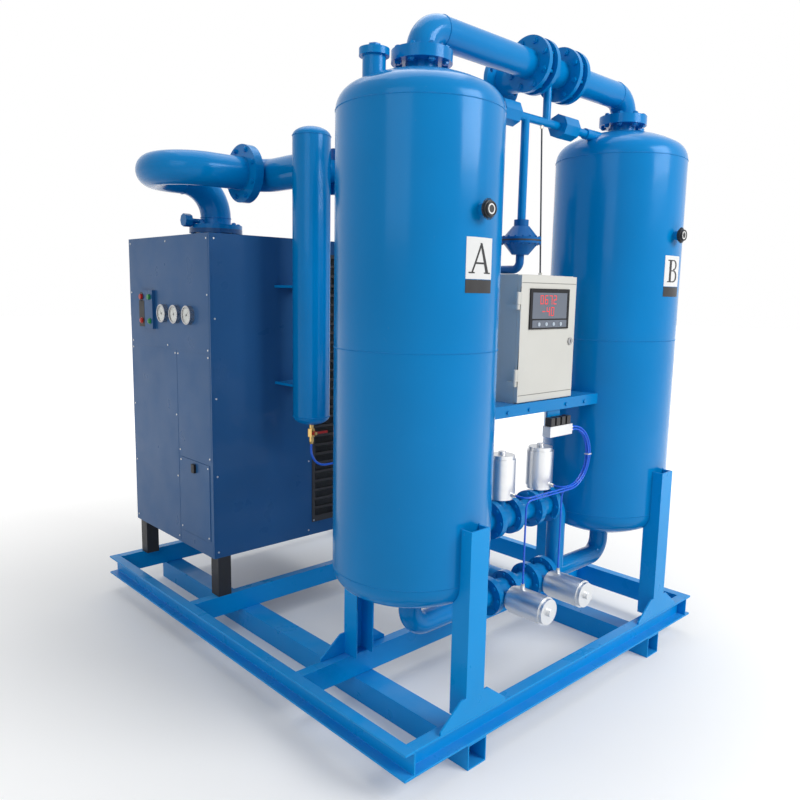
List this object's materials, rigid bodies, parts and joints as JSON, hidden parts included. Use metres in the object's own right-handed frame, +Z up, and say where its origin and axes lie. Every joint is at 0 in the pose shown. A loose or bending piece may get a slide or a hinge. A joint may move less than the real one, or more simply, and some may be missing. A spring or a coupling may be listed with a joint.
{
  "type": "desiccant air dryer",
  "caption": "Skid-mounted twin-tower desiccant air dryer with a cooling cabinet, pre-filter column, valve pipework and a control box between the towers.",
  "frame": {"origin": "centre of the skid on the floor, under the fork tubes", "axes": "+X along the control box side to the right, -Y the front, +Z up"},
  "size_m": [2.01, 2.44, 2.732],
  "materials": {
    "blue_paint": "gloss",
    "cabinet_paint": "gloss",
    "bare_steel": "satin",
    "valve_metal": "satin",
    "cream_paint": "satin",
    "black_plastic": "gloss",
    "black_paint": "satin",
    "desiccant": "matte",
    "blue_tube": "gloss",
    "brass": "satin",
    "red_plastic": "gloss",
    "green_plastic": "gloss"
  },
  "bodies": {
    "frame": {"left_rail": "blue_paint", "right_rail": "blue_paint", "front_rail": "blue_paint", "rear_rail": "blue_paint", "front_cross_beam": "blue_paint", "rear_cross_beam": "blue_paint", "left_fork_tube": "blue_paint", "right_fork_tube": "blue_paint", "tower_a_vessel": "blue_paint", "tower_b_vessel": "blue_paint", "tower_a_legs": "blue_paint", "tower_b_legs": "blue_paint", "desiccant_bed_a": "desiccant", "desiccant_bed_b": "desiccant", "fill_cap_a": "blue_paint", "fill_cap_b": "blue_paint", "sight_port_a": "black_plastic", "sight_port_b": "black_plastic", "top_elbow_a": "blue_paint", "top_elbow_b": "blue_paint", "check_valve_a": "bare_steel", "check_valve_b": "bare_steel", "outlet_tee": "blue_paint", "flange_bolts": "bare_steel", "purge_line": "blue_paint", "purge_valve": "cabinet_paint", "bottom_pipe_a": "blue_paint", "bottom_pipe_b": "blue_paint", "inlet_valve_a": "valve_metal", "inlet_valve_b": "valve_metal", "exhaust_valve_a": "valve_metal", "exhaust_valve_b": "valve_metal", "inlet_tee": "blue_paint", "exhaust_tee": "blue_paint", "muffler": "bare_steel", "box_shelf": "blue_paint", "control_box": "cream_paint", "solenoid_bank": "valve_metal", "control_tubes": "blue_tube", "cabinet": "cabinet_paint", "cabinet_feet": "black_paint", "condenser": "black_paint", "grille": "black_paint", "service_panel": "cabinet_paint", "gauges": "bare_steel", "switch_plate": "cabinet_paint", "cross_over_pipe": "blue_paint", "filter_elbow": "blue_paint", "pre_filter": "blue_paint", "filter_bracket": "blue_paint", "drain_valve": "brass", "drain_tube": "blue_tube", "drain_trap": "bare_steel", "transfer_pipe": "blue_paint"},
    "door": {"control_box_door": "cream_paint", "display_panel": "black_plastic"},
    "lock": {"door_lock": "bare_steel"},
    "lever": {"drain_lever": "red_plastic"},
    "start": {"start_button": "green_plastic"},
    "stop": {"stop_button": "red_plastic"}
  },
  "joints": [
    {"name": "door_hinge", "type": "hinge", "parent": "frame", "child": "door", "pos_m": [-0.2, -0.975, 1.27], "axis": [0, 0, -1], "range_deg": [0, 110]},
    {"name": "lock_turn", "type": "hinge", "parent": "door", "child": "lock", "pos_m": [0.158, -0.965, 1.515], "axis": [0, 1, 0], "range_deg": [0, 90]},
    {"name": "drain_turn", "type": "hinge", "parent": "frame", "child": "lever", "pos_m": [-0.426, 0.093, 1.016], "axis": [0, 1, 0], "range_deg": [0, 90]},
    {"name": "start_push", "type": "slide", "parent": "frame", "child": "start", "axis": [1, 0, 0], "range_m": [0, 0.004]},
    {"name": "stop_push", "type": "slide", "parent": "frame", "child": "stop", "axis": [1, 0, 0], "range_m": [0, 0.004]}
  ]
}
